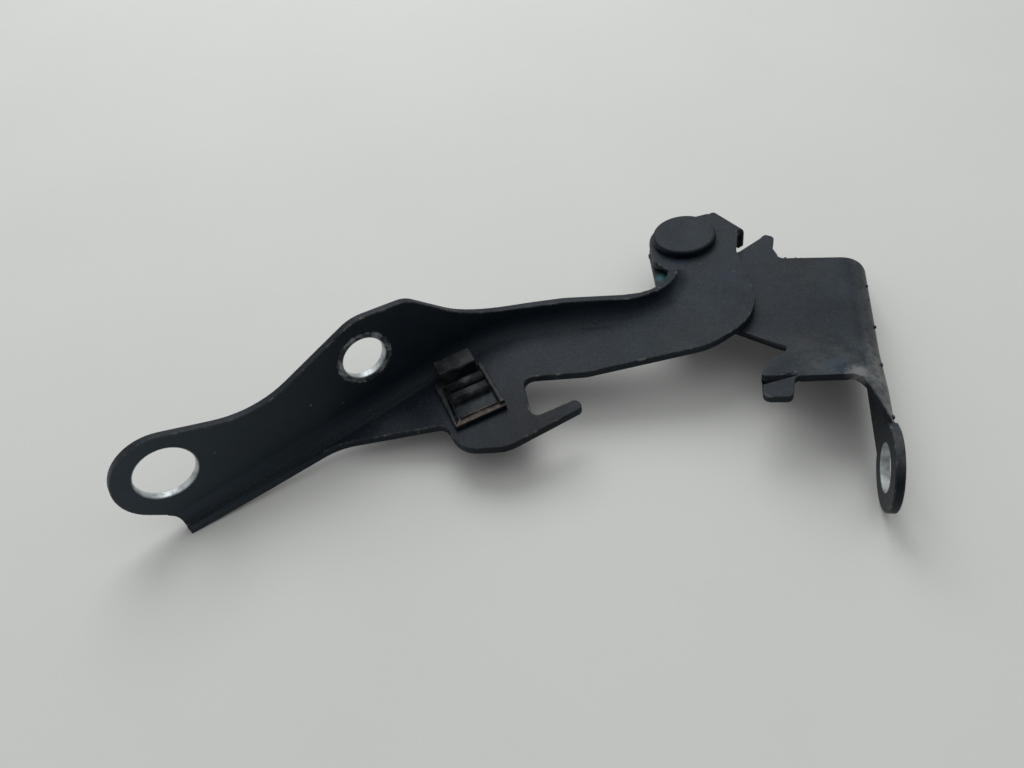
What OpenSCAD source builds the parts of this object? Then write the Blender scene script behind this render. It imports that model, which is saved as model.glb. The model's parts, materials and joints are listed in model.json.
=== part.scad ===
// Gooseneck bonnet hinge: a pressed steel arm turns on a shouldered rivet in a pressed steel body bracket.
// It lies as it would on a bench, with the arm's outer end and the bracket's foot on z = 0.

/* [Sheet metal] */
// Thickness of both pressings
sheet_t = 2.6; // [2.2:0.1:3]
// Inside radius of the folds
bend_r = 5; // [4.6:0.1:5.6]

/* [Pivot] */
// Diameter of the rivet's bearing shoulder
pivot_d = 10; // [8:0.5:11]
// Diameter of the rivet's head
head_d = 21.2; // [20:0.2:22]
// Height of the rivet's head
head_h = 2.2; // [1.8:0.1:3]
// Diameter of the rivet's tenon in the bracket
tenon_d = 8; // [6:0.5:8.5]
// Diameter of the rivet's closed tail
tail_d = 13; // [11:0.5:15]
// Height of the rivet's closed tail
tail_h = 2.4; // [2:0.1:3.5]
// Outside diameter of the thrust washer under the head
washer_d = 18; // [16:0.5:19]
// Thickness of the thrust washer
washer_t = 0.8; // [0.6:0.1:1.2]
// Wall of the flanged bush
bush_wall = 1.2; // [1:0.1:1.6]
// Diameter of the bush's flange
bush_flange_d = 20; // [18:0.5:22]
// Thickness of the bush's flange
bush_flange_t = 0.95; // [0.8:0.05:1.5]
// Radial running clearance on the shoulder
run_clear = 0.05; // [0.02:0.01:0.09]
// Axial play on each side of the arm
axial_play = 0.05; // [0.03:0.01:0.1]

/* [Bonnet arm] */
// Turn of the arm from the bracket's square, as it lies
open_turn = 11; // [4:1:14]
// Diameter of the arm's eye
eye_d = 23.8; // [23:0.2:26]
// Angle of the bonnet flange to the neck
bonnet_angle = 35; // [30:1:40]
// Pivot to the face of the neck's upright flange
neck_offset = 33.4; // [31:0.2:36]
// Width of the neck from that face to its near edge
neck_w = 23.4; // [21:0.2:25]
// Pivot to the knee along the neck
knee_reach = 64.8; // [62:0.2:68]
// Radius of the knee on the flange's face
knee_r = 40; // [32:1:46]
// Radius of the throat beside the eye
throat_r = 16; // [14:0.5:17]
// Pivot to the throat's upright face
throat_x = 6; // [5.4:0.2:7]
// Height of the upright flange along the neck
neck_h = 7.8; // [7:0.2:10]
// Height of the upright flange where the throat begins
throat_h = 5.8; // [5:0.2:6.4]
// Height of the bonnet flange between its two bolt lobes
waist_h = 22; // [20:0.2:24]
// Knee to the inner bolt hole
inner_hole_x = 44; // [42:0.2:46]
// Height of the inner bolt hole over the web
inner_hole_h = 18.4; // [17:0.2:19]
// Diameter of the inner bolt hole
inner_hole_d = 13.3; // [9:0.1:15]
// Radius of the hump over the inner bolt hole
hump_r = 13.2; // [12:0.2:15]
// Distance between the two bonnet bolt holes
bonnet_pitch = 61.8; // [58:0.2:66]
// Height of the outer bolt hole over the web
outer_hole_h = 18.6; // [18:0.2:20]
// Diameter of the outer bolt hole
outer_hole_d = 16.6; // [9:0.1:18]
// Radius of the lobe around the outer bolt hole
lobe_r = 13.4; // [12.4:0.2:14]
// Depth of the stop tab under the web's top
stop_drop = 8.5; // [7:0.5:10]
// Thickness of the hook's finger
finger_w = 4.2; // [3.6:0.2:5]
// Width of the hook's slot at its mouth
slot_w = 11.8; // [11:0.2:13]

/* [Body bracket] */
// Diameter of the bracket's eye
bracket_eye_d = 24; // [22:0.5:26]
// Pivot to the outer face of the bracket's foot
foot_x = 58.8; // [57:0.2:61]
// Inside radius of the fold into the foot
foot_bend_r = 6; // [4:0.5:7]
// Depth of the foot under the arm's top face
foot_depth = 27; // [25:0.5:30]
// Pivot to the far body bolt hole along the foot
far_hole_y = 16; // [14:0.5:20]
// Height of the far body bolt hole over the foot's lower edge
far_hole_h = 8.6; // [7.6:0.2:9.4]
// Diameter of the far body bolt hole
far_hole_d = 9; // [7:0.1:10]
// Distance between the two body bolt holes along the foot
foot_pitch = 67; // [65:0.5:69]
// Height of the near body bolt hole over the foot's lower edge
near_hole_h = 12.4; // [11.8:0.2:13.4]
// Diameter of the near body bolt hole
near_hole_d = 13; // [9:0.1:14]
// Radius of the lobe around the near body bolt hole
foot_lobe_r = 12.2; // [11.4:0.2:13]
// Reach of the foot's far tip beyond the pivot
foot_tip = 16; // [13:0.5:18]
// Height of the foot's lower edge between its two bolt lobes, over its deepest part
foot_arch = 5.5; // [3:0.5:7]
// Rise of the bracket's near strip towards the hook
strip_rise = 2.6; // [2:0.1:3]

/* [Hose clip] */
// Width of the clip's ribs along its channels
clip_w = 11.6; // [10:0.2:13]
// Length of the clip's base across its channels
clip_l = 20; // [18:0.5:22]
// Thickness of the clip's base
clip_t = 1.6; // [1.2:0.1:2]
// Height of the clip's hooked tab
clip_h = 6.4; // [5.6:0.1:7.5]
// Height of the clip's high rib
clip_rib_h = 5.4; // [4.9:0.1:6]
// Height of the clip's low rib
clip_step_h = 4.4; // [4:0.1:4.8]
// Height of the clip's pad
clip_pad_h = 2.2; // [2.1:0.1:2.6]
// Diameter of the clip's peg through the web
clip_peg_d = 6; // [4:0.5:7]
// Radial clearance of the peg in the web
peg_clear = 0.2; // [0.1:0.05:0.4]

/* [Hidden] */
$fn = 64;
arc_steps = 10;
over = 1;

// Levels on the pivot axis, from the arm's top face
press = 0.01;
shoulder_r = pivot_d / 2;
bush_r = shoulder_r + run_clear + bush_wall;
washer_z = axial_play;
head_z = washer_z + washer_t;
bracket_z = -sheet_t - bush_flange_t - axial_play;
tail_z = bracket_z - sheet_t;

// Bonnet flange, along x from the knee: its bolt holes and its outer end
bend_out = bend_r + sheet_t;
leg = 1;
inner_x = -inner_hole_x;
outer_x = inner_x - bonnet_pitch;
lobe_slope = 24;
lip_x = outer_x - 4.2;
lip_y = -3.7;
lip_low = bend_r - sqrt(pow(bend_out, 2) - pow(lip_y + bend_r, 2));
lobe_at = [outer_x - 0.9, outer_hole_h - 0.5];
fall_foot = -4.6;
fall_r = 36;
web_near = -neck_offset - neck_w;
throat_fade = -14.8;
throat_web = [-7.3, -15.4];
flange_top = max(lobe_at.y + lobe_r, inner_hole_h + hump_r) + over;

// Foot, in the bracket's own square
foot_in = foot_x - sheet_t;
near_hole = [-far_hole_y - foot_pitch, near_hole_h - foot_depth];
far_hole = [-far_hole_y, far_hole_h - foot_depth];
strip_start = -44.7;
strip_end = -61.8;
foot_far = -6;
foot_bend_out = foot_bend_r + sheet_t;
tongue_z = bracket_z + strip_rise;
fold_thin = foot_bend_r / foot_bend_out;
flat_x = foot_x - foot_bend_out;
fold_near = [flat_x, strip_end + 1];
fold_near_r = 4;
fold_far = [foot_x, strip_end - 16.4];
crease_at = [28.4, -63.5];
crease_turn = 28;
crease_l = 8.4;
crease_w = 0.6;

// Stop tab: the ends of its fold line, beside the arm's eye, and the far end of its outer face
stop_near = [18.4, 1.5];
stop_far = [11, 13.6];
stop_turn = atan2(stop_far.y - stop_near.y, stop_far.x - stop_near.x);
stop_len = norm(stop_far - stop_near);
stop_bend_r = 0.6;
stop_out = stop_far + (stop_bend_r + sheet_t) * [sin(stop_turn), -cos(stop_turn)];

// Hose clip: its front ledge, two ribs and tab across the channels, and its side rail
clip_ledge_l = 1.7;
clip_step_y = 7;
clip_step_l = 3.6;
clip_valley_l = 0.6;
clip_valley_h = 3.6;
clip_rib_y = clip_step_y + clip_step_l + clip_valley_l;
clip_rib_l = 3.4;
clip_tab_in = 2.6;
clip_tab_t = 2.2;
clip_tab_l = 7.2;
clip_round = 1.2;
clip_rib_x = 2.6;
clip_rail_gap = 0.6;
clip_rail_w = 1.6;
clip_rail_h = 2.8;
clip_rail_y = 1;
clip_rail_x = clip_rib_x + clip_w + clip_rail_gap;
clip_base_w = clip_rail_x + clip_rail_w;
barb_h = 1.6;
barb_r = 0.8;

// How the hinge lies: the outer end of the web and the foot's inner lower edge share one level
lip = turned(on_bonnet([lip_x, lip_y]), open_turn);
lie_tilt = atan2(foot_depth + lip_low, foot_in - lip.x);
rest_h = foot_depth * cos(lie_tilt) - foot_in * sin(lie_tilt);

// Middle of the footprint, from the foot, the stop tab and the outer lobe
lobe_turn = open_turn + bonnet_angle;
lobe_back = turned(on_bonnet([lobe_at.x, sheet_t]), open_turn);
lobe_front = turned(on_bonnet([lobe_at.x, 0]), open_turn);
lobe_x_part = norm([cos(lobe_turn) * cos(lie_tilt), sin(lie_tilt)]);
left_x = lobe_back.x * cos(lie_tilt) - lobe_at.y * sin(lie_tilt) - lobe_r * lobe_x_part;
right_x = foot_x * cos(lie_tilt) + foot_depth * sin(lie_tilt);
near_y = lobe_front.y - lobe_r * sin(lobe_turn);
far_y = turned(stop_out, open_turn).y;
centre = [(left_x + right_x) / 2, (near_y + far_y) / 2];

function turned(p, angle) = [p.x * cos(angle) - p.y * sin(angle), p.x * sin(angle) + p.y * cos(angle)];
function on_bonnet(p) = turned(p, bonnet_angle) - [knee_reach, neck_offset];
function place(p, r) = [p.x, p.y, r];
function spot(p) = [p.x, p.y];

// The points of one corner at b, between a and c, rounded with radius r
function corner(a, b, c, r) =
  r == 0 ? [b] :
  let (u = (a - b) / norm(a - b))
  let (v = (c - b) / norm(c - b))
  let (half = acos(u * v) / 2)
  let (mid = b + (u + v) / norm(u + v) * r / sin(half))
  let (from = b + u * r / tan(half) - mid)
  let (to = b + v * r / tan(half) - mid)
  let (start = atan2(from.y, from.x))
  let (sweep = (90 - half) * 2 * sign(from.x * to.y - from.y * to.x))
  [for (i = [0:arc_steps]) let (at = start + sweep * i / arc_steps) mid + r * [cos(at), sin(at)]];

// An outline of [x, y, corner radius] points
function rounded(p) =
  let (n = len(p))
  [for (i = [0:n - 1]) each corner(spot(p[(i + n - 1) % n]), spot(p[i]), spot(p[(i + 1) % n]), p[i].z)];

module lying() {
  translate([-centre.x, -centre.y, rest_h]) rotate([0, -lie_tilt, 0]) children();
}

module arm_frame() {
  lying() rotate(open_turn) children();
}

module bonnet_frame() {
  translate([-knee_reach, -neck_offset, 0]) rotate(bonnet_angle) children();
}

// Lays a section of [across, up] along +X for a length
module along_x(length) {
  rotate([90, 0, 90]) linear_extrude(length) children();
}

// Section of a fold: a short leg of the web, the bend and an upright wall with its face on x = 0
module fold_section(height, radius) {
  translate([-radius - leg, -sheet_t]) square([leg, sheet_t]);
  intersection() {
    difference() {
      translate([-radius, radius]) circle(radius + sheet_t);
      translate([-radius, radius]) circle(radius);
    }
    translate([-radius, -sheet_t]) square(radius + sheet_t);
  }
  translate([0, radius]) square([sheet_t, height - radius]);
}

// Plan of the arm's web: the near edge with its hook, the elbow, and the far edge inside the folds' legs
module web_plan() {
  inset = bend_r + leg / 2;
  web_end = lip_x + 0.3;
  knee_ease = 3;
  throat_ease = 0.4;
  stop_along = turned([0.4, 0], stop_turn);
  stop_in = turned([0, leg / 2], stop_turn);
  hook_x = -57.3;
  finger_turn = 23;
  finger_root = [hook_x + 2.8, web_near - slot_w - finger_w];
  finger_tip = finger_root + turned([14.5, 0], finger_turn);
  polygon(rounded([
    place(on_bonnet([web_end, 2 * lip_y]), 0),
    [-90, web_near - 24, 0],
    [-79.7, web_near - 16.6, 0],
    [-75.5, web_near - 25, 9],
    [-62, web_near - 26, 12],
    place(finger_tip + turned([0, -finger_w], finger_turn), finger_w / 2.2),
    place(finger_tip, finger_w / 2.2),
    place(finger_root, 2.5),
    [hook_x, web_near + 0.6, 3],
    [-38, web_near - 0.6, 15],
    [0, web_near + 4.8, 20],
    [eye_d / 2 + 5.9, web_near + 16.4, 20],
    [eye_d / 2 + 3.9, -9, 8],
    place(stop_near + stop_in - stop_along, 0),
    place(stop_far + stop_in + stop_along, 0),
    [0, eye_d / 2, 0],
    [-eye_d / 2, 0, 0],
    [0.1 - eye_d / 2, -9.4, 3.5],
    place(throat_web, 2),
    [throat_web.x, throat_web.y - 0.7, 0],
    [inset - throat_x, throat_web.y - 0.7, 0],
    [inset - throat_x, -neck_offset - inset, throat_r + inset - throat_ease],
    [inset * tan(bonnet_angle / 2) - knee_reach, -neck_offset - inset, knee_r - inset - knee_ease],
    place(on_bonnet([web_end, -inset]), 0)
  ]));
  circle(d = eye_d);
}

// All on the far side of the web's near edge, from the lip to the hook's pad; the edge cuts into the bend
module near_side() {
  wide = 3 * knee_reach;
  bow = [-113, web_near - 17.8];
  lip_end = on_bonnet([lip_x, lip_y]);
  polygon(rounded([
    place(lip_end + 0.6 * (lip_end - bow), 0),
    place(bow, 20),
    [-80.2, web_near - 15, 4],
    [-63.4, web_near - 55, 0],
    [wide, web_near - 55, 0],
    [wide, wide, 0],
    [-wide, wide, 0]
  ]));
}

// Face of the bonnet flange: the outer lobe, the waist, the hump and the fall towards the neck
module bonnet_face() {
  hump_top = inner_hole_h + hump_r;
  shoulder_z = hump_top - 2.6;
  upper = lobe_at + lobe_r * [sin(lobe_slope), cos(lobe_slope)];
  lower = lobe_at - lobe_r * [sin(45), cos(45)];
  waist_low = waist_h - 2;
  waist = [upper.x + (upper.y - waist_low) / tan(lobe_slope), waist_low];
  polygon(rounded([
    [lip_x, -sheet_t, 0],
    [fall_r / 2, -sheet_t, 0],
    [fall_r / 2, neck_h, 0],
    [fall_foot, neck_h, fall_r],
    [fall_foot + neck_h - shoulder_z, shoulder_z, 9],
    [inner_x + 1, hump_top + 0.6, 14],
    place(waist, 30),
    place(upper, 0),
    place(lobe_at, 0),
    place(lower, 0),
    [lip_x, lower.y + lower.x - lip_x, 5]
  ]));
  translate(lobe_at) circle(lobe_r);
}

module bonnet_flange() {
  bonnet_frame() intersection() {
    translate([lip_x - lobe_r, 0, 0]) along_x(-lip_x + lobe_r - knee_r * tan(bonnet_angle / 2))
      fold_section(flange_top, bend_r);
    rotate([90, 0, 0]) linear_extrude(4 * bend_out, center = true) bonnet_face();
  }
}

// The upright flange from the knee along the neck and round the throat
module neck_flange() {
  knee_tan = knee_r * tan(bonnet_angle / 2);
  throat_mid = -throat_x - throat_r;
  translate([knee_tan - knee_reach, -neck_offset - knee_r, 0]) rotate(90)
    rotate_extrude(angle = bonnet_angle) translate([knee_r, 0]) fold_section(flange_top, bend_r);
  translate([knee_tan - knee_reach, -neck_offset, 0])
    along_x(knee_reach - knee_tan + throat_mid) fold_section(2 * neck_h, bend_r);
  translate([throat_mid, throat_r - neck_offset, 0]) rotate(-90)
    rotate_extrude(angle = 90) translate([throat_r, 0]) mirror([1, 0]) fold_section(2 * neck_h, bend_r);
  translate([-throat_x, throat_r - neck_offset, 0]) rotate(90)
    along_x(neck_offset - throat_r + throat_web.y) fold_section(2 * neck_h, bend_r);
}

// What is trimmed off the upright flange: all that stands over the fall, the neck and the throat
module knee_trim() {
  high = 2 * flange_top;
  along_neck = cos(bonnet_angle);
  dip_start = 24;
  throat_start = knee_reach - throat_x - throat_r;
  bonnet_frame() rotate([90, 0, 0]) linear_extrude(8 * neck_offset, center = true) polygon(rounded([
    [fall_foot - high, neck_h + high, 0],
    [fall_foot, neck_h, fall_r],
    [dip_start * along_neck, neck_h, 20],
    [throat_start * along_neck, throat_h, 0],
    [2 * knee_reach, throat_h, 0],
    [2 * knee_reach, neck_h + high, 0]
  ]));
}

// The same round the throat to the eye, where the flange fades out, seen along the neck
module throat_trim() {
  translate([-throat_x - throat_r, 0, 0]) along_x(4 * throat_r) polygon([
    [eye_d, 0],
    [throat_fade, 0],
    [throat_r - neck_offset, 0.32 * throat_h],
    [throat_r / 2 - neck_offset, 0.7 * throat_h],
    [sheet_t - neck_offset, 0.9 * throat_h],
    [sheet_t - neck_offset, 4 * neck_h],
    [eye_d, 4 * neck_h]
  ]);
}

// The tab that is bent down beside the eye
module stop_tab() {
  translate([stop_near.x, stop_near.y, 0]) rotate(stop_turn) translate([0, -stop_bend_r, -sheet_t])
    mirror([0, 1, 0]) mirror([0, 0, 1]) along_x(stop_len) fold_section(stop_drop - sheet_t, stop_bend_r);
}

module bonnet_arm() {
  color([0.13, 0.14, 0.16]) arm_frame() difference() {
    union() {
      intersection() {
        union() {
          translate([0, 0, -sheet_t]) linear_extrude(sheet_t) web_plan();
          bonnet_flange();
        }
        linear_extrude(4 * flange_top, center = true) near_side();
      }
      difference() {
        neck_flange();
        knee_trim();
        throat_trim();
      }
      stop_tab();
    }
    cylinder(h = 4 * sheet_t, r = bush_r, center = true);
    bonnet_frame() for (hole = [[inner_x, inner_hole_h, inner_hole_d], [outer_x, outer_hole_h, outer_hole_d]])
      translate([hole.x, 0, hole.y]) rotate([90, 0, 0]) cylinder(h = 4 * sheet_t, d = hole.z, center = true);
    clip_frame() clip_peg_at() cylinder(h = 4 * sheet_t, d = clip_peg_d + 2 * peg_clear, center = true);
  }
}

// Plan of the bracket's plate, strip, tongue and fold, from the eye round to the stop nub
module bracket_plan() {
  eye_r = bracket_eye_d / 2;
  polygon(rounded([
    [-eye_r, -2.3, 0],
    [-6.8, -27.8, 6],
    [31.6, -48.2, 0.6],
    [31.4, -50.5, 0.6],
    [26.9, -54.1, 4],
    [24.2, -61.2, 8],
    [24.5, -70.7, 2],
    [32.4, -70.4, 2],
    [33.2, -62.4, 2],
    place(fold_near, fold_near_r),
    place(fold_far, 0),
    [foot_x + over, fold_far.y, 0],
    [foot_x + over, foot_far, 0],
    [31.2, foot_far, 2.5],
    [29.2, -1, 3],
    [30, 6.5, 2],
    [26.6, 6.6, 1.2],
    [25.2, 4.6, 1],
    [18.6, -2.2, 4],
    [eye_r - 1.7, -7.2, 0],
    [0, 0, 0]
  ]));
  circle(eye_r);
}

// Side view of the bracket's plate: flat under the arm, a rising strip, then the level tongue
module bracket_side() {
  tongue_end = strip_end - 20;
  top = [[bracket_eye_d, bracket_z], [strip_start, bracket_z], [strip_end, tongue_z], [tongue_end, tongue_z]];
  polygon(concat(top, [for (i = [3:-1:0]) top[i] - [0, sheet_t]]));
}

// Fold between the plate and the foot: its section is carried along the plate's edge and rises with the strip
module foot_fold() {
  edge = [
    [foot_far + over, 0],
    [strip_start, 0],
    [strip_end, strip_rise],
    [fold_far.y - over, strip_rise]
  ];
  top = [foot_x, bracket_z];
  outer = corner(top - [foot_x, 0], top, top - [0, foot_depth], foot_bend_out);
  inner = [for (p = outer) [flat_x, bracket_z - foot_bend_out] * (1 - fold_thin) + p * fold_thin];
  section = concat(outer, [for (i = [arc_steps:-1:0]) inner[i]]);
  n = len(section);
  last = (len(edge) - 1) * n;
  polyhedron(
    points = [for (e = edge) for (p = section) [p.x, e.x, p.y + e.y]],
    faces = concat(
      [[for (i = [n - 1:-1:0]) i], [for (i = [0:n - 1]) last + i]],
      [for (k = [0:n:last - n]) for (i = [0:n - 1]) [k + i, k + (i + 1) % n, k + n + (i + 1) % n, k + n + i]]
    )
  );
}

// The shallow crease across the tongue
module tongue_crease() {
  translate([crease_at.x, crease_at.y, tongue_z]) rotate(crease_turn) rotate([45, 0, 0])
    cube([crease_l, crease_w, crease_w], center = true);
}

// Face of the foot in [along y, up]: a deep far end with its tip, an arch and the near bolt lobe
module foot_face() {
  top_z = bracket_z - foot_bend_out;
  arch_z = foot_arch - foot_depth;
  polygon(rounded([
    [foot_far, top_z, 0],
    [foot_tip, 4 - foot_depth, 1.5],
    [foot_tip, -foot_depth, 2],
    [far_hole.x - foot_lobe_r / 2, -foot_depth, 5],
    [far_hole.x - foot_lobe_r, arch_z, 5],
    [near_hole.x + foot_lobe_r / 2, arch_z, 0],
    place(near_hole, 0),
    [fold_far.y, top_z + strip_rise, 0],
    [strip_end, top_z + strip_rise, 0],
    [strip_start, top_z, 0]
  ]));
  translate(near_hole) circle(foot_lobe_r);
}

module foot_bore(hole, diameter) {
  translate([foot_x, hole.x, hole.y]) rotate([0, 90, 0])
    cylinder(h = 4 * sheet_t, d = diameter, center = true);
}

module body_bracket() {
  color([0.2, 0.21, 0.22]) lying() difference() {
    union() {
      intersection() {
        union() {
          translate([-2 * bracket_eye_d, 0, 0]) along_x(2 * bracket_eye_d + flat_x) bracket_side();
          foot_fold();
        }
        translate([0, 0, -foot_depth]) linear_extrude(foot_depth) bracket_plan();
      }
      translate([foot_in, 0, 0]) along_x(sheet_t) foot_face();
    }
    tongue_crease();
    translate([0, 0, bracket_z]) cylinder(h = 4 * sheet_t, d = tenon_d, center = true);
    foot_bore(far_hole, far_hole_d);
    foot_bore(near_hole, near_hole_d);
  }
}

// Shouldered rivet: a domed head, the bearing shoulder, the tenon in the bracket and the closed tail
module pivot_rivet() {
  edge = head_h / 2;
  color([0.16, 0.17, 0.19]) lying() rotate_extrude() difference() {
    union() {
      translate([0, head_z]) square([head_d / 2, head_h - edge]);
      translate([0, head_z]) square([head_d / 2 - edge, head_h]);
      translate([head_d / 2 - edge, head_z + head_h - edge]) circle(edge);
      translate([0, bracket_z]) square([shoulder_r, head_z - bracket_z]);
      translate([0, tail_z]) square([tenon_d / 2 + press, sheet_t]);
      translate([0, tail_z - tail_h]) polygon(rounded([
        [0, 0, 0],
        [tail_d / 2 - 1.5, 0, 1],
        [tail_d / 2, tail_h / 2, 1],
        [tail_d / 2, tail_h, 0],
        [0, tail_h, 0]
      ]));
    }
    translate([-head_d, tail_z - 2 * tail_h]) square([head_d, 4 * foot_depth]);
  }
}

module thrust_washer() {
  color([0.07, 0.07, 0.08]) lying() translate([0, 0, washer_z]) difference() {
    cylinder(h = washer_t, d = washer_d);
    cylinder(h = 4 * washer_t, r = shoulder_r + run_clear, center = true);
  }
}

// Flanged bush, pressed into the arm's eye from below
module pivot_bush() {
  color([0.62, 0.5, 0.26]) arm_frame() difference() {
    union() {
      translate([0, 0, -sheet_t]) cylinder(h = sheet_t, r = bush_r + press);
      translate([0, 0, -sheet_t - bush_flange_t]) cylinder(h = bush_flange_t, d = bush_flange_d);
    }
    translate([0, 0, -sheet_t]) cylinder(h = 4 * sheet_t, r = shoulder_r + run_clear, center = true);
  }
}

// The clip's own square: x along its channels, y across them, from its near left corner
module clip_frame() {
  translate([-76.7, -74.7, 0]) rotate(23.5) children();
}

module clip_peg_at() {
  translate([clip_base_w / 2, clip_l / 2, 0]) children();
}

// Side view across the channels: front ledge, low pad, two ribs and the hooked tab on one base
module clip_side() {
  step_end = clip_step_y + clip_step_l;
  rib_end = clip_rib_y + clip_rib_l;
  tab_y = clip_l - clip_tab_in;
  tab_end = tab_y + clip_tab_l;
  polygon(rounded([
    [0, 0, 0],
    [clip_l, 0, 0],
    [clip_l, clip_t, 0],
    [tab_y + clip_tab_t, clip_t, 0],
    [tab_y + clip_tab_t, clip_h - clip_t, 0],
    [tab_end, clip_h - clip_t, 0],
    [tab_end, clip_h, clip_round / 2],
    [tab_y, clip_h, clip_round / 2],
    [tab_y, clip_t, 0],
    [rib_end, clip_t, 0],
    [rib_end, clip_rib_h, clip_round],
    [clip_rib_y, clip_rib_h, clip_round],
    [clip_rib_y, clip_valley_h, 0],
    [step_end, clip_valley_h, 0],
    [step_end, clip_step_h, clip_round / 4],
    [clip_step_y, clip_step_h, clip_round],
    [clip_step_y, clip_pad_h, 0],
    [clip_ledge_l, clip_pad_h, clip_round / 4],
    [clip_ledge_l, clip_t, 0],
    [0, clip_t, 0]
  ]));
}

module hose_clip() {
  color([0.1, 0.1, 0.11]) arm_frame() clip_frame() {
    translate([clip_rib_x, 0, 0]) along_x(clip_w) clip_side();
    cube([clip_base_w, clip_l, clip_t]);
    translate([clip_rail_x, clip_rail_y, 0]) cube([clip_rail_w, clip_l - clip_rail_y, clip_rail_h]);
    clip_peg_at() translate([0, 0, -sheet_t - barb_h]) {
      cylinder(h = sheet_t + barb_h, d = clip_peg_d);
      cylinder(h = barb_h, d1 = clip_peg_d - 2 * barb_r, d2 = clip_peg_d + 2 * barb_r);
    }
  }
}

bonnet_arm();
body_bracket();
pivot_rivet();
thrust_washer();
pivot_bush();
hose_clip();
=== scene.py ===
"""Looks, light and camera for the bonnet hinge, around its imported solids, in metres and in their frame."""
import itertools
import json
import math

import bmesh
import bpy
from mathutils import Matrix, Quaternion, Vector


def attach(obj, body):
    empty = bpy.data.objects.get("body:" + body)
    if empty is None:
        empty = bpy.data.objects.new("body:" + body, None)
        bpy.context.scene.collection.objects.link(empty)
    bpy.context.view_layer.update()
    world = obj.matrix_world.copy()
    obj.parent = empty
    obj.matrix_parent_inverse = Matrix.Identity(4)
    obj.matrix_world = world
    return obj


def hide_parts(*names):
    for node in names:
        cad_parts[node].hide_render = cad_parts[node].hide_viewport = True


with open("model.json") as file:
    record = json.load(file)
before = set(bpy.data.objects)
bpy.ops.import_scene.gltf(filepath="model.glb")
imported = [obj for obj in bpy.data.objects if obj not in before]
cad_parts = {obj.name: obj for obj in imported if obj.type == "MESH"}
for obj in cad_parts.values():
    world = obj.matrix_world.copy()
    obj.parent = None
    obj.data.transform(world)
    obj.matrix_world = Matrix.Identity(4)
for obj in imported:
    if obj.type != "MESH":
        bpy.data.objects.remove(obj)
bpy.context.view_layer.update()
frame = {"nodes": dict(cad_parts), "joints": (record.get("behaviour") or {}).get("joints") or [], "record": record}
mounts = {mount["name"]: mount for mount in frame["record"]["mounts"]}

MM = 0.001

# Directions of the frame: along the bench to the right, away from the camera, and up
RIGHT = (1, 0, 0)
BACK = (0, 1, 0)
UP = (0, 0, 1)

# Camera: where it stands, what it looks at on the floor, its roll and its lens, for a frame of 1024 by 768
FRAME_W = 1024
FOCAL_PX = 765
SENSOR_MM = 36
EYE = Vector((30.059, -162.62, 185.429)) * MM
TARGET = Vector((-9.527, -0.434, 0)) * MM
ROLL_DEG = -3.861

# Meshes: what counts as one point, one flat and one sharp edge, and how far edges are rounded
WELD = 0.012 * MM
FLAT_DEG = 0.6
SHARP_DEG = 28
PRESSED_EDGE = 0.45 * MM
MOULDED_EDGE = 0.45 * MM
TURNED_EDGE = 0.22 * MM
EDGE_STEPS = 3

# Points where edges stay sharp: more edges than this meet, or they are shorter or closer together than this
MOST_EDGES = 5
SHORT_EDGE = 0.2 * MM
NARROW_DEG = 14

# Rivet head: the shallow dish in its top face
DISH_DEPTH = 0.45 * MM
DISH_RINGS = 9

# Finish: the gloss of coat and plastic, and how level a face must be to hold some dust and all of it
COAT_SPECULAR = 0.13
PLASTIC_SPECULAR = 0.15
LEVEL_FACE = (0.55, 0.97)

# Colours: dust and dirt, the pale dust also as painted light, metal that shows, paler edges, a painted highlight,
# a painted glint and a painted dark reflection, and each material's darkest and palest tone
# The pale dust colour, also used as painted light on upright faces
DUST_AND_PAINTED_LIGHT = (0.066, 0.088, 0.104, 1)
BROWN_DUST = (0.095, 0.09, 0.082, 1)
RUSTY_DUST = (0.105, 0.072, 0.052, 1)
SPECK = (0.3, 0.3, 0.28, 1)
# Paler rounded edges, in patches
PALE_EDGE = (0.13, 0.12, 0.105, 1)
BARE_METAL = (0.46, 0.49, 0.5, 1)
# Rubbed metal on the bracket's fold, and the same grey as a painted highlight on the strip's corner
RUBBED_METAL_AND_HIGHLIGHT = (0.185, 0.183, 0.178, 1)
# Painted glint: a teal highlight on the bracket plate
TEAL_GLINT = (0.05, 0.14, 0.18, 1)
# Painted shade: a dim reflection on the arm's web
DARK_REFLECTION = (0.0015, 0.0035, 0.0075, 1)
BRONZE_TONES = ((0.32, 0.23, 0.1, 1), (0.55, 0.42, 0.22, 1))
ARM_TONES = ((0.003, 0.0065, 0.012, 1), (0.0065, 0.0118, 0.0182, 1))
BRACKET_TONES = ((0.005, 0.009, 0.0145, 1), (0.0115, 0.0165, 0.0225, 1))
WASHER_TONES = ((0.006, 0.006, 0.007, 1), (0.014, 0.014, 0.015, 1))
CLIP_TONES = ((0.005, 0.007, 0.0095, 1), (0.011, 0.0135, 0.0165, 1))

# Hose clip: the direction across its channels, and where its base, its pad and its ribs start along it
CLIP_ACROSS = Vector((-0.562, 0.824, -0.074))
CLIP_START = -15.44 * MM
CLIP_PAD = CLIP_START + 1.7 * MM
CLIP_RIBS = CLIP_START + 7 * MM

# Paint burrs along the bracket's fold and far edge: where they sit and their half width
BURRS = (
    (99.6, 22.3, 18.9, 0.45),
    (98.7, 4.3, 20.9, 0.55),
    (99.3, -15.6, 21.3, 0.5),
    (99.1, 40.6, 19.5, 0.4),
    (99.0, 34.4, 19.4, 0.25),
    (72.2, 51.1, 19.2, 0.55),
    (74.4, 51.2, 19.5, 0.5),
    (77.6, 51.1, 19.9, 0.45),
    (79.4, 51.1, 20.1, 0.35),
)

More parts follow.
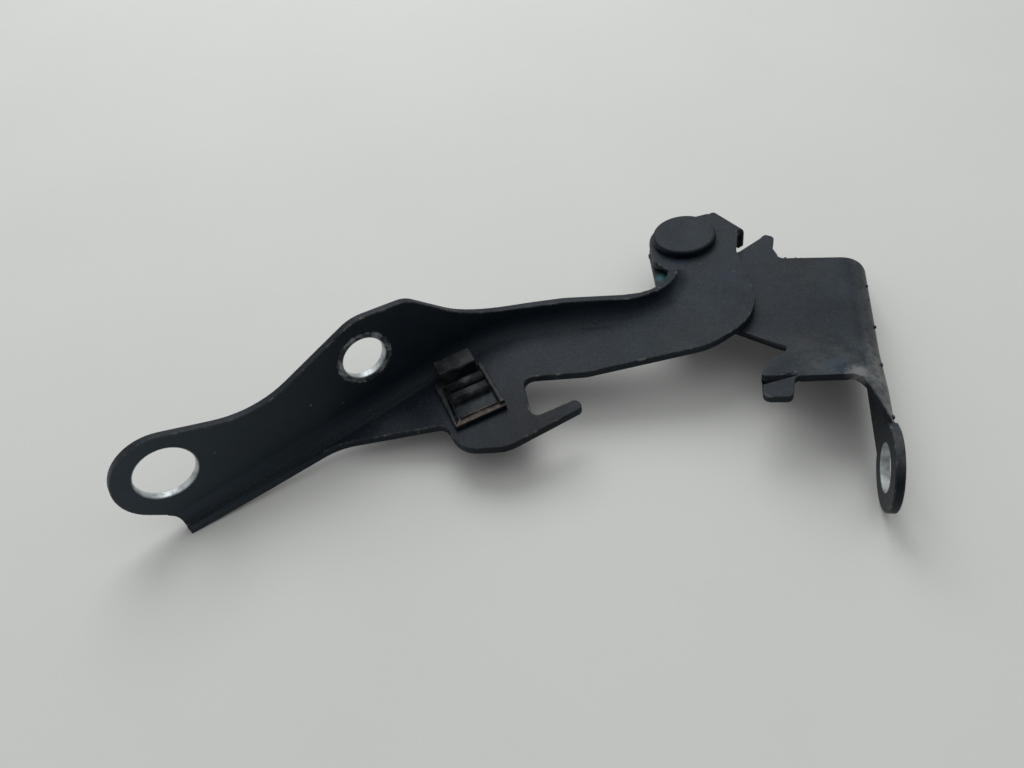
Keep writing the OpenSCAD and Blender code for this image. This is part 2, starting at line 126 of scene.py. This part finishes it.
# Light: a wide soft lamp high on the far left, and a room that is brightest up there too, between two levels
LAMP_AT = Vector((-0.25, 0.55, 0.75))
LAMP_WIDTH = 0.7
LAMP_WATTS = 4.3
ROOM_BRIGHTEST = Vector((-0.25, 0.35, 0.9)).normalized()
ROOM_SPAN = (-0.1, 1.0)
ROOM_LEVELS = (0.06, 0.95)
LAMP_TINT = (0.97, 0.99, 1.0)
ROOM_TINT = (0.96, 0.99, 1.0, 1)

# Floor: half its width and its two tones
FLOOR_HALF = 3.0
FLOOR_TONES = ((0.57, 0.565, 0.54, 1), (0.61, 0.605, 0.585, 1))


class Finish:
    """One material, with short calls for the nodes that its finish is made of."""

    def __init__(self, name):
        self.material = bpy.data.materials.new(name)
        self.material.use_nodes = True
        self.tree = self.material.node_tree
        self.shader = self.tree.nodes["Principled BSDF"]
        self.place = self.add("ShaderNodeTexCoord").outputs["Object"]

    def add(self, kind, **settings):
        made = self.tree.nodes.new(kind)
        for key, value in settings.items():
            setattr(made, key, value)
        return made

    def feed(self, socket, value):
        if isinstance(value, bpy.types.NodeSocket):
            self.tree.links.new(value, socket)
        else:
            socket.default_value = value

    def set(self, **values):
        """Sets the shader's own sockets, such as base_color or roughness."""
        for key, value in values.items():
            self.feed(self.shader.inputs[key.replace("_", " ").title()], value)

    def math(self, operation, *values):
        made = self.add("ShaderNodeMath", operation=operation)
        for socket, value in zip(made.inputs, values):
            self.feed(socket, value)
        return made.outputs["Value"]

    def vector(self, operation, *values):
        made = self.add("ShaderNodeVectorMath", operation=operation)
        for socket, value in zip(made.inputs, values):
            self.feed(socket, value)
        return made.outputs["Value" if operation in ("DOT_PRODUCT", "LENGTH") else "Vector"]

    def span(self, value, low, high, start=0.0, end=1.0):
        """A smooth step from start to end as value goes from low to high."""
        made = self.add("ShaderNodeMapRange", interpolation_type="SMOOTHSTEP")
        names = ("Value", "From Min", "From Max", "To Min", "To Max")
        for name, number in zip(names, (value, low, high, start, end)):
            self.feed(made.inputs[name], number)
        return made.outputs["Result"]

    def mix(self, factor, first, second):
        made = self.add("ShaderNodeMix", data_type="RGBA")
        for socket, value in ((made.inputs[0], factor), (made.inputs[6], first), (made.inputs[7], second)):
            self.feed(socket, value)
        return made.outputs[2]

    def noise(self, grain, detail, rough=0.55):
        """Noise whose patches are about one grain wide, in metres."""
        placed = self.vector("MULTIPLY", self.place, (1 / grain,) * 3)
        made = self.add("ShaderNodeTexNoise")
        for name, value in (("Vector", placed), ("Scale", 1.0), ("Detail", detail), ("Roughness", rough)):
            self.feed(made.inputs[name], value)
        return made.outputs["Fac"]

    def specks(self, spacing, size):
        """Dots of mixed sizes, at most one to each cell of a loose grid; most cells stay empty."""
        placed = self.vector("SCALE", self.place)
        placed.node.inputs["Scale"].default_value = 1 / spacing
        cells = self.add("ShaderNodeTexVoronoi")
        self.feed(cells.inputs["Vector"], placed)
        self.feed(cells.inputs["Scale"], 1.0)
        share = self.add("ShaderNodeSeparateColor")
        self.feed(share.inputs["Color"], cells.outputs["Color"])
        wobble = self.noise(0.3 * size, 2)
        ragged = self.math("MULTIPLY_ADD", wobble, 0.9 * size / spacing, cells.outputs["Distance"])
        reach = self.math("MULTIPLY", share.outputs["Green"], 1.2 * size / spacing)
        near = self.span(self.math("DIVIDE", ragged, self.math("MAXIMUM", reach, 0.01)), 0.7, 1.1, 1.0, 0.0)
        return self.math("MULTIPLY", near, self.math("GREATER_THAN", share.outputs["Red"], 0.72))

    def along(self, direction):
        """The place along a direction of the frame, in metres."""
        return self.vector("DOT_PRODUCT", self.place, direction)

    def facing(self, direction):
        """How far the surface faces a direction, from -1 to 1."""
        normal = self.add("ShaderNodeNewGeometry").outputs["Normal"]
        return self.vector("DOT_PRODUCT", normal, direction)

    def bump(self, height, distance):
        made = self.add("ShaderNodeBump")
        self.feed(made.inputs["Height"], height)
        made.inputs["Distance"].default_value = distance
        self.feed(self.shader.inputs["Normal"], made.outputs["Normal"])

    def off_axis(self, point, axis):
        """The distance from an axis through a point, in metres."""
        away = self.vector("SUBTRACT", self.place, point)
        along = self.vector("DOT_PRODUCT", away, axis)
        whole = self.vector("DOT_PRODUCT", away, away)
        square = self.math("SUBTRACT", whole, self.math("MULTIPLY", along, along))
        return self.math("SQRT", self.math("MAXIMUM", square, 0.0))

    def within(self, distance, reach, ragged):
        """1 where a distance is within a reach, with a ragged rim."""
        wobble = self.math("MULTIPLY_ADD", self.noise(1.6 * MM, 4), ragged, -ragged / 2)
        rim = self.math("ADD", distance, wobble)
        return self.span(rim, reach - 0.3 * MM, reach + 0.3 * MM, 1.0, 0.0)

    def spot(self, centre, reach):
        """1 at a point, fading out unevenly within a reach."""
        away = self.vector("LENGTH", self.vector("SUBTRACT", self.place, centre))
        uneven = self.math("MULTIPLY_ADD", self.noise(reach / 4, 5, 0.7), 1.2 * reach, away)
        return self.span(uneven, 0.7 * reach, 1.5 * reach, 1.0, 0.0)


def dip_coat(name, dark, pale, dust_share, dust_and_shade_places=(), bare_holes=(), upright_light_place=None, light_and_shade_spots=(),
             worn_fold=None, edge=False):
    """Black dip coat on steel: uneven tone, settled dust thinned in places as painted shade, painted light on
    upright faces, specks, painted spots of light and shade, and bare metal at worn places.

    Each dust-and-shade place is a direction with a low and a high, and the share of dust below and above them.
    An upright-light place gives the painted light on upright faces the same way, and a worn fold is the direction
    that it faces, with its place. Each bare hole is a mount with the reach and the raggedness of its
    ring, and each light-and-shade spot is a point with its reach, its colour and its share.
    """
    coat = Finish(name)
    coat.shader.inputs["Specular IOR Level"].default_value = COAT_SPECULAR
    cloud = coat.noise(14 * MM, 5)
    grain = coat.noise(0.9 * MM, 3)
    colour = coat.mix(coat.span(cloud, 0.3, 0.7), dark, pale)
    upward = coat.span(coat.facing(UP), *LEVEL_FACE)
    patches = coat.span(coat.noise(9 * MM, 8, 0.78), 0.38, 0.64, 0.25, 1.2)
    dust_and_shade = coat.math("MULTIPLY", upward, patches)
    # The places thin or thicken the dust along directions; where it thins, the darker coat shows as painted shade
    for direction, *limits in dust_and_shade_places:
        dust_and_shade = coat.math("MULTIPLY", dust_and_shade, coat.span(coat.along(direction), *limits))
    dust_and_shade = coat.math("MULTIPLY", dust_and_shade, dust_share)
    settled = coat.mix(coat.span(coat.noise(22 * MM, 4), 0.45, 0.7), DUST_AND_PAINTED_LIGHT, BROWN_DUST)
    colour = coat.mix(dust_and_shade, colour, settled)
    # Painted light: upright faces made paler, in the dust colour, along a direction
    if upright_light_place:
        overlay = coat.span(coat.along(upright_light_place[0]), *upright_light_place[1:])
        overlay = coat.math("MULTIPLY", overlay, coat.math("SUBTRACT", 1.0, upward))
        colour = coat.mix(overlay, colour, DUST_AND_PAINTED_LIGHT)
    fine = coat.span(coat.noise(0.55 * MM, 2), 0.5, 0.72)
    fine = coat.math("MULTIPLY", fine, coat.math("MULTIPLY_ADD", upward, 0.16, 0.03))
    colour = coat.mix(fine, colour, BROWN_DUST)
    specks = coat.math("MULTIPLY", coat.specks(3.4 * MM, 0.55 * MM), 0.4)
    colour = coat.mix(specks, colour, SPECK)
    roughness = coat.math("MULTIPLY_ADD", grain, 0.2, 0.36)
    roughness = coat.math("MULTIPLY_ADD", dust_and_shade, 0.6, roughness)
    if worn_fold:
        facing, direction, *limits = worn_fold
        patches = coat.span(coat.noise(2.6 * MM, 7, 0.72), 0.38, 0.62, 0.3, 1.0)
        rubbed = coat.math("MULTIPLY", coat.span(coat.facing(facing), 0.76, 0.98), patches)
        rubbed = coat.math("MULTIPLY", rubbed, coat.span(coat.along(direction), *limits))
        colour = coat.mix(rubbed, colour, RUBBED_METAL_AND_HIGHLIGHT)
    # Spots of painted light and shade: painted highlights, a glint and a dark reflection
    for centre, reach, tint, share in light_and_shade_spots:
        colour = coat.mix(coat.math("MULTIPLY", coat.spot(centre, reach), share), colour, tint)
    # Rounded edges paler in patches
    if edge:
        pale_patches = coat.span(coat.noise(3.2 * MM, 6, 0.72), 0.5, 0.66, 0.08, 0.7)
        colour = coat.mix(pale_patches, colour, PALE_EDGE)
    if bare_holes:
        scuffed = coat.span(coat.noise(3.5 * MM, 5, 0.6), 0.42, 0.62, 0.05, 0.55)
        uneven = coat.span(coat.noise(2.4 * MM, 4), 0.3, 0.6, 0.55, 1.0)
        metal = 0.0
        for mount, reach, ragged in bare_holes:
            hole = mounts[mount]
            bore = hole["dims"]["r_mm"] * MM
            radius = coat.off_axis(hole["pos_m"], hole["axis"])
            wall = coat.span(radius, bore + 0.1 * MM, bore + 0.5 * MM, 1.0, 0.0)
            wall = coat.math("MULTIPLY", wall, uneven)
            ring = coat.math("MULTIPLY", coat.within(radius, reach, ragged), scuffed)
            metal = coat.math("MAXIMUM", metal, coat.math("MAXIMUM", wall, ring))
        colour = coat.mix(metal, colour, BARE_METAL)
        roughness = coat.math("MULTIPLY_ADD", metal, -0.08, roughness)
        coat.set(metallic=coat.math("MULTIPLY", metal, 0.6))
    coat.set(base_color=colour, roughness=roughness)
    coat.bump(coat.math("ADD", coat.math("MULTIPLY", grain, 0.5), cloud), 0.12 * MM)
    return coat.material


def moulded_plastic(name, dark, pale, film_share, dust_layers=()):
    """Black moulded plastic: fine texture, a brownish film in patches and settled dust.

    Each dust layer lies below a level along a direction, with its colour and its share.
    """
    plastic = Finish(name)
    plastic.shader.inputs["Specular IOR Level"].default_value = PLASTIC_SPECULAR
    cloud = plastic.noise(6 * MM, 5)
    grain = plastic.noise(0.5 * MM, 2)
    colour = plastic.mix(plastic.span(cloud, 0.3, 0.7), dark, pale)
    overlay = plastic.span(plastic.noise(3 * MM, 6, 0.7), 0.45, 0.75)
    overlay = plastic.math("MULTIPLY", overlay, film_share)
    colour = plastic.mix(overlay, colour, BROWN_DUST)
    upward = plastic.span(plastic.facing(UP), *LEVEL_FACE)
    patches = plastic.span(plastic.noise(2 * MM, 5, 0.7), 0.35, 0.6, 0.25, 1.0)
    settled = plastic.math("MULTIPLY", upward, patches)
    for direction, level, tint, share in dust_layers:
        below = plastic.span(plastic.along(direction), level - 0.2 * MM, level + 0.2 * MM, share, 0.0)
        colour = plastic.mix(plastic.math("MULTIPLY", settled, below), colour, tint)
    plastic.set(base_color=colour, roughness=plastic.math("MULTIPLY_ADD", cloud, 0.2, 0.42))
    plastic.bump(grain, 0.05 * MM)
    return plastic.material


def bearing_bronze(name):
    """Plain bearing bronze, uneven in tone and slightly rough."""
    bronze = Finish(name)
    cloud = bronze.noise(3 * MM, 4)
    colour = bronze.mix(cloud, *BRONZE_TONES)
    bronze.set(base_color=colour, metallic=0.9, roughness=bronze.math("MULTIPLY_ADD", cloud, 0.25, 0.3))
    bronze.bump(bronze.noise(0.3 * MM, 2), 0.03 * MM)
    return bronze.material


def plain_floor(name):
    """Pale matt floor with a faint unevenness."""
    floor = Finish(name)
    cloud = floor.noise(80 * MM, 4)
    floor.set(base_color=floor.mix(cloud, *FLOOR_TONES), roughness=0.85)
    return floor.material


def welded_copy(node):
    """A copy of a solid's mesh, and its editing form with seams welded and flat faces joined."""
    mesh = frame["nodes"][node].data.copy()
    if "custom_normal" in mesh.attributes:
        mesh.attributes.remove(mesh.attributes["custom_normal"])
    work = bmesh.new()
    work.from_mesh(mesh)
    bmesh.ops.remove_doubles(work, verts=work.verts, dist=WELD)
    bmesh.ops.dissolve_limit(work, angle_limit=math.radians(FLAT_DEG), verts=work.verts, edges=work.edges)
    return mesh, work


def dish_head(work, pivot, axis):
    """Sinks the rivet head's top face into a shallow dish of concentric rings."""
    top = max(work.faces, key=lambda face: face.calc_center_median().dot(axis))
    rim = list(top.verts)
    centre = pivot + axis * axis.dot(rim[0].co - pivot)
    reach = [vert.co - centre for vert in rim]
    bmesh.ops.delete(work, geom=[top], context="FACES_ONLY")
    for ring in range(1, DISH_RINGS + 1):
        share = 1 - ring / (DISH_RINGS + 1)
        drop = axis * DISH_DEPTH * (1 + math.cos(math.pi * share)) / 2
        inner = [work.verts.new(centre + arm * share - drop) for arm in reach]
        for i in range(len(rim)):
            work.faces.new((rim[i - 1], rim[i], inner[i], inner[i - 1]))
        rim = inner
    work.faces.new(rim)


def add_burrs(work):
    """Adds small lumps of paint that stand half sunk in the surface."""
    for x, y, z, size in BURRS:
        stretch = Matrix.Diagonal((size * MM, 1.5 * size * MM, size * MM, 1))
        place = Matrix.Translation(Vector((x, y, z)) * MM) @ stretch
        bmesh.ops.create_icosphere(work, subdivisions=2, radius=1, matrix=place)


def crowded(vert):
    """Whether edges meet too closely at a point to be rounded there."""
    shortest = min(edge.calc_length() for edge in vert.link_edges)
    if len(vert.link_edges) > MOST_EDGES or shortest < SHORT_EDGE:
        return True
    ways = [edge.other_vert(vert).co - vert.co for edge in vert.link_edges]
    return any(a.angle(b) < math.radians(NARROW_DEG) for a, b in itertools.combinations(ways, 2))


def mark_edges(work):
    """Marks the sharp edges for rounding, apart from those at a crowded point."""
    weight = work.edges.layers.float.new("bevel_weight_edge")
    for edge in work.edges:
        sharp = edge.calc_face_angle(0) > math.radians(SHARP_DEG)
        edge[weight] = 1.0 if sharp and not any(crowded(vert) for vert in edge.verts) else 0.0


def dress(piece, node, body, edge, materials, change=None):
    """Stands a piece with rounded edges in for a solid; its last material goes on those edges."""
    mesh, work = welded_copy(node)
    if change:
        change(work)
    mark_edges(work)
    work.to_mesh(mesh)
    work.free()
    mesh.name = piece
    mesh.materials.clear()
    for material in materials:
        mesh.materials.append(material)
    mesh.shade_smooth()
    made = bpy.data.objects.new(piece, mesh)
    bpy.context.scene.collection.objects.link(made)
    rounding = made.modifiers.new("rounded edges", "BEVEL")
    rounding.width = edge
    rounding.segments = EDGE_STEPS
    rounding.limit_method = "WEIGHT"
    rounding.use_clamp_overlap = False
    rounding.material = len(materials) - 1
    made.modifiers.new("flat faces stay flat", "WEIGHTED_NORMAL")
    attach(made, body)
    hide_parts(node)


def build_pieces():
    """The six pieces of the hinge."""
    hinge = frame["joints"][0]
    pivot, upright = Vector(hinge["pos_m"]), Vector(hinge["axis"])
    web_level = pivot.dot(upright)
    # Real dust, thinned towards the left, the near side and up the bend into the flange as painted shade
    arm_dust_and_shade = (
        (RIGHT, -30 * MM, 40 * MM, 0.4, 1.0),
        (BACK, -14 * MM, 6 * MM, 0.35, 1.0),
        (upright, web_level + 1.5 * MM, web_level + 4 * MM, 1.0, 0.4),
    )
    # Painted light: the arm's upright faces made paler in the dust colour, most at its left end
    arm_upright_light = (RIGHT, -112 * MM, -45 * MM, 0.62, 0.08)
    # Painted shade: a dark patch on the web near the hook stands for a dim reflection there
    arm_dark_reflection = ((Vector((0, -29, 14)) * MM, 30 * MM, DARK_REFLECTION, 0.9),)
    arm_holes = (("bonnet_bolt_inner", 8.5 * MM, 2.2 * MM), ("bonnet_bolt_outer", 8.5 * MM, 0.5 * MM))
    # Real dust, with a band of little dust across the plate about 19 to 24 mm back, as painted shade at the step
    # to the strip
    bracket_dust_and_shade = (
        (RIGHT, 72 * MM, 79 * MM, 0.5, 1.0),
        (BACK, 3 * MM, 19 * MM, 1.8, 0.2),
        (BACK, 24 * MM, 38 * MM, 1.0, 3.5),
    )
    bracket_holes = (("body_bolt_near", 6.8 * MM, 0.6 * MM), ("body_bolt_far", 4.8 * MM, 0.6 * MM))
    # Painted highlights: a pale spot on the strip's near corner by the fold, and a teal glint on the plate beside
    # the pivot
    bracket_highlights = (
        (Vector((91, -3.2, 24.6)) * MM, 5.5 * MM, RUBBED_METAL_AND_HIGHLIGHT, 0.75),
        (Vector((34.5, 41.5, 15)) * MM, 3.2 * MM, TEAL_GLINT, 0.8),
    )
    bracket_fold = (Vector((1, 0, 1)).normalized(), BACK, 0.0, 18 * MM, 0.85, 0.2)
    dress("arm_pressing", "bonnet_arm", "arm", PRESSED_EDGE, [
        dip_coat("arm dip coat", *ARM_TONES, 0.2, arm_dust_and_shade, arm_holes, arm_upright_light, arm_dark_reflection),
        dip_coat("arm edge", *ARM_TONES, 0.2, arm_dust_and_shade, arm_holes, arm_upright_light, arm_dark_reflection, edge=True),
    ])
    dress("bracket_pressing", "body_bracket", "bracket", PRESSED_EDGE, [
        dip_coat("bracket dip coat", *BRACKET_TONES, 0.3, bracket_dust_and_shade, bracket_holes,
                 light_and_shade_spots=bracket_highlights, worn_fold=bracket_fold),
        dip_coat("bracket edge", *BRACKET_TONES, 0.28, bracket_dust_and_shade, bracket_holes,
                 light_and_shade_spots=bracket_highlights, edge=True),
    ], add_burrs)
    dress("rivet", "pivot_rivet", "bracket", TURNED_EDGE, [
        dip_coat("rivet coat", *ARM_TONES, 0.13),
        dip_coat("rivet edge", *ARM_TONES, 0.17, edge=True),
    ], lambda work: dish_head(work, pivot, upright))
    dress("washer", "thrust_washer", "bracket", TURNED_EDGE / 2, [
        moulded_plastic("washer plastic", *WASHER_TONES, 0.2),
    ])
    dress("bush", "pivot_bush", "arm", TURNED_EDGE / 2, [bearing_bronze("bush bronze")])
    dress("clip", "hose_clip", "arm", MOULDED_EDGE, [
        moulded_plastic("clip plastic", *CLIP_TONES, 0.3, (
            (CLIP_ACROSS, CLIP_RIBS, DUST_AND_PAINTED_LIGHT, 0.16),
            (CLIP_ACROSS, CLIP_PAD + 0.5 * MM, RUSTY_DUST, 0.75),
        )),
    ])


def build_stage():
    """The floor, the soft light and the room's own light."""
    corners = [(FLOOR_HALF * x, FLOOR_HALF * y, 0) for x, y in ((-1, -1), (1, -1), (1, 1), (-1, 1))]
    mesh = bpy.data.meshes.new("floor")
    mesh.from_pydata(corners, [], [(0, 1, 2, 3)])
    mesh.materials.append(plain_floor("pale floor"))
    floor = bpy.data.objects.new("floor", mesh)
    bpy.context.scene.collection.objects.link(floor)

    light = bpy.data.lights.new("lamp", "AREA")
    light.shape = "DISK"
    light.size = LAMP_WIDTH
    light.energy = LAMP_WATTS
    light.color = LAMP_TINT
    lamp = bpy.data.objects.new("lamp", light)
    lamp.location = LAMP_AT
    lamp.rotation_mode = "QUATERNION"
    lamp.rotation_quaternion = (-lamp.location).to_track_quat("-Z", "Y")
    bpy.context.scene.collection.objects.link(lamp)

    world = bpy.data.worlds.new("room")
    world.use_nodes = True
    tree = world.node_tree
    place = tree.nodes.new("ShaderNodeTexCoord").outputs["Generated"]
    towards = tree.nodes.new("ShaderNodeVectorMath")
    towards.operation = "DOT_PRODUCT"
    towards.inputs[1].default_value = ROOM_BRIGHTEST
    tree.links.new(place, towards.inputs[0])
    shade = tree.nodes.new("ShaderNodeMapRange")
    shade.interpolation_type = "SMOOTHSTEP"
    for name, number in zip(("From Min", "From Max", "To Min", "To Max"), ROOM_SPAN + ROOM_LEVELS):
        shade.inputs[name].default_value = number
    tree.links.new(towards.outputs["Value"], shade.inputs["Value"])
    room = tree.nodes["Background"]
    room.inputs["Color"].default_value = ROOM_TINT
    tree.links.new(shade.outputs["Result"], room.inputs["Strength"])
    bpy.context.scene.world = world


def build_camera():
    """The camera, at the height and angle of a person looking down at a bench."""
    lens = bpy.data.cameras.new("camera")
    lens.sensor_width = SENSOR_MM
    lens.lens = FOCAL_PX / FRAME_W * SENSOR_MM
    lens.clip_start = 1 * MM
    camera = bpy.data.objects.new("camera", lens)
    camera.location = EYE
    camera.rotation_mode = "QUATERNION"
    aim = (TARGET - EYE).to_track_quat("-Z", "Y")
    camera.rotation_quaternion = aim @ Quaternion((0, 0, 1), math.radians(ROLL_DEG))
    bpy.context.scene.collection.objects.link(camera)
    bpy.context.scene.camera = camera


build_pieces()
build_stage()
build_camera()
bpy.context.scene.view_settings.view_transform = "Standard"
